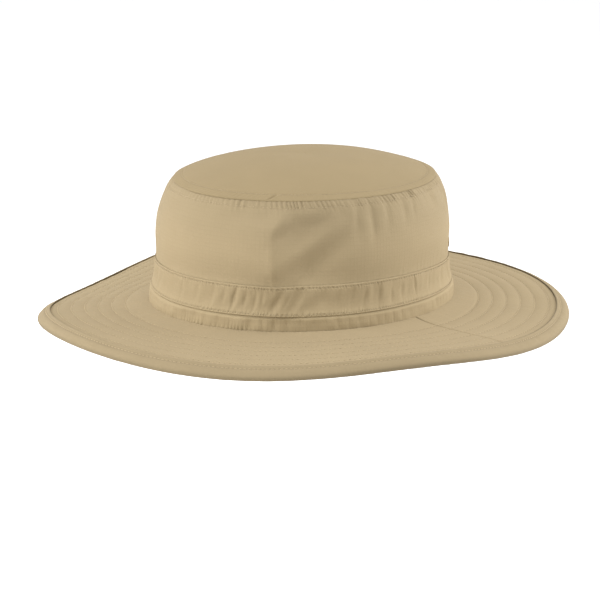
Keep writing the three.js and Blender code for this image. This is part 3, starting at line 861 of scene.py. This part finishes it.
# Folds of the hat band: degrees round, share of its height, lean from foot to head, half length as a
# share of its height, half width, depth.
BAND_FOLDS = [
    (-96, 0.5, 3, 0.3, 1.4, 0.35), (-88.5, 0.6, 3, 0.3, 1.4, 0.35), (-82, 0.55, 3.5, 0.3, 1.2, 0.5),
    (-78, 0.6, 3.5, 0.25, 1.0, 0.35), (-74, 0.55, 4.5, 0.33, 1.25, 1.15), (-70, 0.55, 3, 0.25, 0.9, 0.45),
    (-66.5, 0.45, 3, 0.3, 0.9, 0.5), (-64, 0.6, 2.5, 0.2, 0.8, 0.35), (-59, 0.45, 8, 0.34, 1.9, 0.95),
    (-55.5, 0.5, 9, 0.3, 1.2, 0.4), (-53, 0.55, 11, 0.4, 2.8, 0.85),
    (-50, 0.3, 9, 0.25, 1.6, -0.35), (-42.5, 0.6, 2, 0.25, 1.6, 0.3), (-36.5, 0.5, 3.5, 0.3, 1.3, 0.4),
    (-31, 0.6, 5, 0.28, 1.4, 0.5), (-25.5, 0.45, 5, 0.35, 1.5, 0.95), (-18.5, 0.55, 4, 0.25, 1.3, 0.55),
    (-12, 0.4, 2, 0.2, 1.0, 0.35), (-6.5, 0.5, 2, 0.26, 1.2, 0.5), (1.5, 0.6, -2, 0.3, 1.0, 0.6),
    (12, 0.5, 3, 0.25, 1.5, 0.35), (24, 0.5, 5, 0.3, 2.2, 0.4), (36, 0.4, -4, 0.3, 2.0, 0.4),
]


def band_edges(angle):
    wander = 0.4 * noise(angle / TURN, 0, 9, 1, 51)
    return BAND_LOW + wander, BAND_HIGH + wander * 0.6 - 2.6 * hump(angle, 58, 24)


def band_surface(angle, share):
    """The hat band's outer face: `share` goes from its lower edge at 0 to its upper edge at 1."""
    low, high = band_edges(angle)
    height = low + (high - low) * share
    inset = np.minimum(share, 1 - share) * (high - low)
    rounded = rounding(inset, 0.6)
    turns = (angle / TURN - 4.2 * share / HEAD_AROUND) % 1.0
    bowed = arch(share)
    held = bowed**0.7 * smooth((inset - 0.9) / 1.6)
    lively = 0.5 + 0.5 * hump(angle, -40, 34) + 0.4 * hump(angle, 130, 60)
    streak = 0.5 * noise(turns, 0.5 * share, 84, 1, 52) + 0.12 * noise(turns, share, 160, 2, 53)
    relief = lively * held * (streak + 0.3 * noise(turns, share, 50, 2, 57))
    relief += front_dent(angle, height + 6 * (1 - share))
    hidden = smooth((np.abs(degrees_from(angle, -32)) - 75) / 12)
    relief += hidden * held * 0.6 * puckers(angle, share, 8.0, 3.0, 56)
    for middle, level, lean, half_length, half_width, depth in BAND_FOLDS:
        beside = millimetres_from(angle, middle, 97) - lean * (share - 0.5)
        beside = beside + 0.4 * half_width * noise(angle / TURN, share, 90, 2, 58)
        lens = np.exp(-np.abs((share - level) / half_length) ** 2.4)
        width = 1.15 * half_width * (0.6 + 0.55 * lens)
        valley = bell(beside, width)
        shoulder = bell(beside - 2.0 * width, 1.5 * width)
        relief = relief - 0.85 * depth * lens * smooth((inset - 0.9) / 1.6) * (valley - 0.4 * shoulder)
    pulled = bell(positive(inset - BAND_STITCH_INSET), 1.5) * smooth((inset - 0.5) / 0.8)
    relief += (0.26 + 0.3 * hump(angle, -50, 40)) * pulled * puckers(angle, inset, 2.6, 0.25, 54)
    groove = -0.2 * bell(inset - BAND_STITCH_INSET, 0.45)
    beyond = millimetres_from(angle, 135, 95)
    lap = 0.75 * smooth((beyond + 0.3) / 0.8) * smooth((12 - beyond) / 3)
    base = under_band(height) + 0.25 + 0.1 * smooth((13 - height) / 5)
    thickness = BAND_THICKNESS * (0.45 + 0.55 * hump(angle, -38, 46))
    out = base + thickness * rounded + relief + groove + lap + crown_lap(angle, height)
    return oval(angle, out, height)


def make_hat_band():
    angle = all_round(1600)[None]
    middle = np.linspace(0.16, 0.84, 18)[1:-1]
    share = np.concatenate([np.linspace(0, 0.16, 11), middle, np.linspace(0.84, 1, 11)])
    face = band_surface(angle, share[:, None])
    inner_share = np.array([0.02, 0.3, 0.7, 0.98])[:, None]
    low, high = band_edges(angle)
    height = low + (high - low) * inner_share
    inner = under_band(height) + 0.05 + crown_lap(angle, height) + front_dent(angle, height)
    back = oval(angle, inner, height)
    maps = [strip_map(angle, part * BAND_CLOTH_HEIGHT) for part in (share[:, None], inner_share)]
    inset = np.minimum(share, 1 - share)[:, None] * BAND_CLOTH_HEIGHT
    # Painted shade: the band is darker along its stitch rows and at both edges.
    painted_shade = 0.06 * bell(inset - BAND_STITCH_INSET, 0.45) + 0.12 * bell(inset, 0.6)
    piece = sheet_piece("hat_band_cloth", face, back, True, "band", ["hat_band"], maps, painted_shade)


# ---- Inside of the crown ----


def make_sweatband():
    angle = all_round(360)[None] + math.radians(90)
    height = np.concatenate([[SWEATBAND_LOW, -1.4], np.linspace(0, 22, 14), [23.4, SWEATBAND_HIGH]])[:, None]
    soft = 0.35 * noise(angle / TURN, (height + 2) / 26, 24, 2, 61) * smooth((height + 2) / 8)
    slack = 0.7 * smooth((height - 12) / 12) * (0.6 + 0.5 * noise(angle / TURN, 0, 15, 1, 62))
    middle = inside_out(height) - 1.2
    ends = 0.25 * np.exp(-np.abs(degrees_from(angle, 90)) / 1.2)
    thin = 0.5 * np.sqrt(np.clip(1 - (np.abs(height - 11) / 13.01) ** 12, 0, 1)) + 0.12
    inner = oval(angle, middle - thin + soft - slack + ends, height)
    outer = oval(angle, middle + thin + 0.5 * soft - 0.8 * slack, height)
    maps = [strip_map(angle, height)] * 2
    piece = sheet_piece("sweatband_cloth", outer, inner, True, "sweatband", ["sweatband"],
                        maps)

    def sweatband_face(at, level):
        return oval(at, inside_out(level) - 1.78, level)

    stitch_row("sweatband_stitches", sweatband_face, 1.4, 2.6, [], inside)


def make_seam_tape():
    angle = all_round(360)[None]
    share = np.linspace(0, 1, 15)[:, None]
    bend = smooth(share * 1.15)
    out = -9.7 - 8.6 * share
    height = TAPE_LOW + 3.9 * np.sin(np.pi / 2 * np.clip(share / 0.55, 0, 1)) + 2.3 * bend * share
    ripple = 0.22 * noise(angle / TURN, share, 130, 2, 71)
    outer = oval(angle, out + ripple, height)
    inner = oval(angle, out - 0.45 + ripple, height - 0.4)
    maps = [strip_map(angle, share * 11)] * 2
    piece = sheet_piece("tip_seam_tape_cloth", outer, inner, True, "tape", ["tip_seam_tape"],
                        maps)


def make_label():
    """A small blank white label, sewn to the sweatband beside the centre back."""
    columns, rows = 60, 30
    angle = np.radians(np.linspace(105, 127, columns))[None]
    height = np.linspace(4, 20, rows)[:, None]
    base = inside_out(height) - 2.15
    base = base - 0.5 * smooth((height - 12) / 12)
    curl = 0.5 * smooth((np.degrees(angle) - 122) / 5) * smooth((height - 14) / 6)
    outer = oval(angle, base - curl, height)
    inner = oval(angle, base - 0.4 - curl, height)
    maps = [strip_map(angle, height)] * 2
    piece = sheet_piece("care_label_cloth", outer, inner, False, "label", ["care_label"],
                        maps)


# ---- Brim ----


def rim_height(angle):
    return RIM_HEIGHT + sum(lift * hump(angle, middle, width) for middle, lift, width in RIM_WAVES)


def brim_point(angle, distance, lift):
    """A point of the brim this far out from the head oval along the cloth, above its flat top face."""
    angle, distance, lift = np.broadcast_arrays(angle, distance, lift)
    share = positive(distance) / BRIM_WIDTH
    rim = rim_height(angle)
    fall = SHOULDER_DROP * (1 - np.clip(1 - distance / SHOULDER_WIDTH, 0, 1) ** 2)
    roll = EDGE_ROLL * (positive(distance - QUILT_LAST) / (BRIM_WIDTH - QUILT_LAST)) ** 2
    height = (rim + EDGE_ROLL) * share - fall * (1 - share) - roll
    out = np.where(distance < 0, distance, np.sqrt(BRIM_WIDTH**2 - rim**2) * share)
    points = oval(angle, out, height + lift)
    points[..., 0] += RIM_SHIFT[0] * share
    points[..., 1] += RIM_SHIFT[1] * share
    return points


def quilt_puff(distance):
    """The soft lanes between rows of quilting, pinched to a narrow valley at each row."""
    lane = np.abs(np.sin(np.pi * (distance - QUILT_FIRST) / QUILT_PITCH)) ** 0.55
    first = 1 - bell(distance - QUILT_FIRST, 1.4)
    last = 1 - bell(distance - QUILT_LAST, 1.4)
    return np.where(distance < QUILT_FIRST, first, np.where(distance > QUILT_LAST, last, lane))


def past_ear_seam(angle, distance):
    """How far behind the nearer ear seam a place is, in millimetres."""
    return (95 + positive(distance)) * np.sin(angle)


def brim_relief(angle, distance, seed=81):
    turns = angle / TURN
    share = np.clip(distance, 0, BRIM_WIDTH) / BRIM_WIDTH
    puff = quilt_puff(distance)
    deep = 0.16 + 0.3 * hump(angle, 70, 60) + 0.26 * hump(angle, -170, 40)
    relief = deep * (puff - 1) + 0.12
    lively = 0.2 + 1.0 * hump(angle, -162, 26) + 0.5 * hump(angle, 120, 40) + 0.35 * hump(angle, -112, 14)
    bent = (turns + 0.004 * noise(turns, share, 60, 5, seed + 4)) % 1.0
    crossing = noise(bent, share, 190, 3, seed) + 0.6 * noise(bent, share, 330, 6, seed + 1)
    relief = relief + 0.15 * lively * crossing * (0.3 + 0.7 * puff)
    relief += 0.3 * noise(turns, share, 17, 3, seed + 2) * smooth(distance / 10)
    out = positive(distance)
    relief += 0.16 * puckers(angle, out, 6.0, 0.2, seed + 3) * np.exp(-out / 5) * smooth(out / 2)
    behind = past_ear_seam(angle, distance)
    pressed = 0.35 + 0.65 * np.exp(-out / 16)
    relief -= 0.42 * pressed * bell(behind, 0.55)
    relief += 0.24 * pressed * smooth(behind / 1.2) * smooth((7.5 - behind) / 2.5)
    return relief * smooth((68 - distance) / 3)


def brim_top_surface(angle, distance):
    return brim_point(angle, distance, brim_relief(angle, distance))


def brim_under_surface(angle, distance):
    return brim_point(angle, distance, -BRIM_DEPTH - brim_relief(angle, distance, 91))


def brim_rows():
    """Distances across the brim, closer together at every row of quilting."""
    fine = [np.linspace(-1.1, 2, 7), np.linspace(2, QUILT_FIRST - 1.2, 20)[1:]]
    for row in range(QUILT_ROWS):
        middle = QUILT_FIRST + QUILT_PITCH * row
        fine.append(middle + np.array([-0.8, -0.4, 0, 0.4, 0.8]))
        if row + 1 < QUILT_ROWS:
            fine.append(np.linspace(middle + 1.3, middle + QUILT_PITCH - 1.3, 9))
    fine.append(np.linspace(QUILT_LAST + 1.3, BRIM_WIDTH - 0.5, 12))
    return np.concatenate(fine)


def half_columns(back_half, count):
    """Angles over one half of the brim, closer together beside its two ear seams."""
    share = np.linspace(0, 1, count)
    share = share - 0.063 * np.sin(TURN * share)
    return (share * math.pi + (0 if back_half else -math.pi))[None]


def make_brim_half(name, back_half, top):
    angle = half_columns(back_half, 660)
    distance = brim_rows()[:, None]
    inner_distance = np.array([-1.1, 3, 10, 17.5, 26, 35, 44, 52, 61, 67, 72.5])[:, None]
    level = -0.35 if top else 0.35 - BRIM_DEPTH
    surface = brim_top_surface if top else brim_under_surface
    face = surface(angle, distance)
    back = brim_point(angle, inner_distance, level - 0.1 if top else level + 0.1)
    for grid in (face, back):
        grid[:, 0, 1] += 0.02 if back_half else -0.02
        grid[:, -1, 1] += 0.02 if back_half else -0.02
    rows = (distance - QUILT_FIRST) / QUILT_PITCH
    nearest = np.clip(np.round(rows), 0, QUILT_ROWS - 1)
    off_row = distance - QUILT_FIRST - nearest * QUILT_PITCH
    aside = past_ear_seam(angle, distance)
    # Painted shade: the brim is darker along its quilting rows, more at two stretches round it, and along
    # the ear seams, most near the crown.
    near = 0.1 + 0.5 * np.exp(-distance / 14)
    row_shade = 0.02 + 0.34 * hump(angle, 55, 50) + 0.3 * hump(angle, -165, 28)
    painted_shade = row_shade * bell(off_row, 0.45) + near * bell(aside, 0.5)
    if top:
        face, back, painted_shade = face[::-1], back[::-1], painted_shade[::-1]
    material, slot = ("shell", "shell_cloth") if top else ("lining", "lining_cloth")
    piece = sheet_piece(f"{name}_cloth", face, back, False, material, [name],
                        painted_shade=np.clip(painted_shade, 0, 1))


def make_interlining():
    angle = all_round(360)[None]
    distance = np.array([3, 10, 17.5, 26, 35, 44, 52, 61, 66, 71])[::-1, None]
    face = brim_point(angle, distance, -0.7)
    back = brim_point(angle, distance, -1.3)
    piece = sheet_piece("brim_stiffener_felt", face, back, True, "felt", ["brim_interlining"])


# The folded binding in section: distance past the brim's flat edge, and height over its top face.
BINDING_SECTION = [
    (-7.3, 0.25), (-7.5, 0.6), (-7.45, 0.98), (-7.1, 1.22), (-6.5, 1.26), (-5.6, 1.12), (-4.95, 0.86),
    (-4.6, 0.76), (-4.2, 0.88), (-3.4, 1.14), (-2.4, 1.26), (-1.3, 1.16), (-0.3, 0.8), (0.4, 0.2),
    (0.75, -0.6), (0.75, -1.4), (0.4, -2.2), (-0.3, -2.75), (-1.3, -3.1), (-2.4, -3.2), (-3.4, -3.1),
    (-4.2, -2.86), (-4.6, -2.76), (-4.95, -2.86), (-5.6, -3.1), (-6.5, -3.24), (-7.1, -3.2),
    (-7.45, -2.95), (-7.5, -2.6), (-7.3, -2.25), (-5, -2.25), (-2, -2.25), (-0.1, -2.0), (-0.1, 0.0),
    (-2, 0.25), (-5, 0.25),
]


def binding_relief(angle, distance, under):
    turns = angle / TURN
    wide = 0.16 * noise(turns + 0.4 * distance / BINDING_AROUND, 0.5, 210, 1, 101 + under)
    fine = 0.09 * noise(turns - 0.5 * distance / BINDING_AROUND, 0.5, 430, 1, 103 + under)
    held = 1 - bell(distance - BRIM_WIDTH + BINDING_STITCH, 0.9)
    edge = smooth((distance - (BRIM_WIDTH - BINDING_WIDTH)) / 0.8) * smooth((BRIM_WIDTH - distance) / 1.5)
    return (wide + fine) * (0.25 + 0.75 * held) * (0.4 + 0.6 * edge)


def binding_point(angle, past, lift):
    distance = BRIM_WIDTH + past
    on_cloth = np.minimum(distance, BRIM_WIDTH)
    under = 1 if lift < -BRIM_DEPTH / 2 else 0
    outer_skin = lift > 0.3 or lift < -BRIM_DEPTH - 0.3
    relief = binding_relief(angle, distance, under) if outer_skin else 0.0
    points = brim_point(angle, on_cloth, lift + (-relief if under else relief))
    if distance > BRIM_WIDTH:
        points = points + oval(angle, distance - BRIM_WIDTH, 0.0) - oval(angle, 0.0, 0.0)
    return points


def make_binding():
    angle = all_round(1440)
    grid = np.stack([binding_point(angle, past, lift) for past, lift in BINDING_SECTION])
    count, columns = grid.shape[:2]
    left = np.arange(columns)
    right = (left + 1) % columns
    low = np.arange(count)[:, None]
    high = (low + 1) % count
    near, far = low * columns, high * columns
    quads = np.stack([near + left, far + left, far + right, near + right], -1)
    section = np.array(BINDING_SECTION)
    arc = np.concatenate([[0], np.cumsum(np.linalg.norm(np.diff(section, axis=0), axis=1))])
    along = left[None] * BINDING_AROUND / columns
    chart = np.stack(np.broadcast_arrays(along, arc[:, None]), -1).reshape(-1, 2)
    uv = chart[quads].copy()
    uv[:, -1, 2:, 0] += BINDING_AROUND
    # Painted shade on the binding: darker in its stitch groove, along its inner edge, on its outer edge
    # towards the bottom, more at the bottom of the front roll and along the inner edge towards the back.
    dark = bell(section[:, 0] + BINDING_STITCH, 0.5) * 0.12
    dark += np.where(section[:, 0] <= -7.3, 0.35, 0.0)
    dark += 0.42 * smooth((1.1 - section[:, 1]) / 2.6) * (section[:, 0] > -0.5)
    rolled = 0.2 * hump(angle, -28, 20)[None] * smooth((1.2 - section[:, 1]) / 1.6)[:, None]
    back_edge_shade = 0.45 * hump(angle, 35, 45)[None] * (section[:, :1] <= -7.0)
    painted_shade = np.clip(dark[:, None] + rolled * (section[:, :1] > -2.0) + back_edge_shade, 0, 0.8)
    piece = make_piece("brim_binding_cloth", grid.reshape(-1, 3), [quads.reshape(-1, 4)], "binding",
                       ["brim_binding"], [uv.reshape(-1, 4, 2)], painted_shade)


# ---- Stitching ----


def make_stitches():
    for row in range(QUILT_ROWS):
        distance = QUILT_FIRST + QUILT_PITCH * row
        stitch_row(f"quilting_stitches_{row + 1}", brim_top_surface, distance, 3.1,
                   [f"quilting_thread_{row + 1}"], above, girth=0.62)
        stitch_row(f"quilting_under_stitches_{row + 1}", brim_under_surface, distance, 3.1, [], below)
    edge = BRIM_WIDTH - BINDING_STITCH

    def binding_top(angle, distance):
        return brim_point(angle, distance, 0.78 + binding_relief(angle, distance, 0))

    def binding_under(angle, distance):
        return brim_point(angle, distance, -2.78 - binding_relief(angle, distance, 1))

    stitch_row("binding_stitches", binding_top, edge, 2.6, ["binding_thread"], above)
    stitch_row("binding_under_stitches", binding_under, edge, 2.6, [], below)
    inset = BAND_STITCH_INSET / BAND_CLOTH_HEIGHT
    side_row = TIP_SEAM_HEIGHT - SIDE_STITCH / SHOULDER_CLOTH
    tip_row = 1 - TIP_STITCH / TIP_REACH
    for name, surface, row, pitch, node, facing in (
        ("band_lower_stitches", band_surface, inset, 1.6, "band_thread_lower", outside),
        ("band_upper_stitches", band_surface, 1 - inset, 1.6, "band_thread_upper", outside),
        ("tip_topstitches", tip_surface, tip_row, 2.1, "tip_topstitch_thread", above),
        ("side_topstitches", crown_surface, side_row, 2.1, "side_topstitch_thread", outside),
    ):
        stitch_row(name, surface, row, pitch, [node], facing, thread="crown_thread")
    for index, beside in enumerate((2.0, 9.0)):
        at = math.radians(90) + beside / 100
        stitch_row(f"back_seam_stitches_{index + 1}", crown_surface, at, 2.4, [], outside, span=(28.5, 70.0),
                   along=True, thread="crown_thread")


# ---- Eyelets ----


def lathe_piece(name, profile, here, out, stands_for, sides=48):
    """A turned ring: `profile` is a closed loop of (radius, height along `out`)."""
    up = np.array([0.0, 0.0, 1.0])
    along = unit(np.cross(up, out))
    upward = np.cross(out, along)
    ring = all_round(sides)
    circle = np.outer(np.cos(ring), along) + np.outer(np.sin(ring), upward)
    points = np.stack([here + radius * circle + height * out for radius, height in profile])
    low = np.arange(len(profile))[:, None]
    high = (low + 1) % len(profile)
    k = np.arange(sides)[None]
    j = (k + 1) % sides
    quads = quads_between(low * sides, high * sides, k, j).reshape(-1, 4)
    return make_piece(name, points.reshape(-1, 3), [quads], "metal", stands_for)


def make_eyelets():
    """Pressed eyelets with a domed flange outside, and a washer held by a rolled lip inside."""
    flange = [(3.5, 0.02), (3.45, 0.3), (3.1, 0.55), (2.6, 0.72), (2.15, 0.7), (1.85, 0.5), (1.75, 0.2)]
    barrel = [(1.75, -1.6), (1.9, -2.0), (2.4, -2.15), (2.9, -2.0), (3.0, -1.75), (2.6, -1.65), (2.15, -1.6)]
    neck = [(2.15, -0.3), (2.2, 0.02)]
    washer = [(2.35, -1.5), (2.35, -1.1), (2.5, -1.0), (3.5, -1.0), (3.7, -1.15), (3.7, -1.4), (3.5, -1.5)]
    for name, degrees in EYELET_DEGREES.items():
        here, out = eyelet_frame(degrees)
        lathe_piece(f"{name}_metal", (flange + barrel + neck)[::-1], here, out, [name])
        washer_name = name.replace("eyelet", "washer")
        lathe_piece(f"{washer_name}_metal", washer, here, out, [washer_name])


# ---- The hat ----

add_camera()
add_lights()
add_floor()
make_materials()
make_sweatband()
make_crown_side()
make_crown_tip()
make_hat_band()
make_seam_tape()
make_label()
for layer in ("top", "under"):
    for half in ("front", "back"):
        make_brim_half(f"brim_{layer}_{half}", half == "back", layer == "top")
make_interlining()
make_binding()
make_stitches()
make_eyelets()
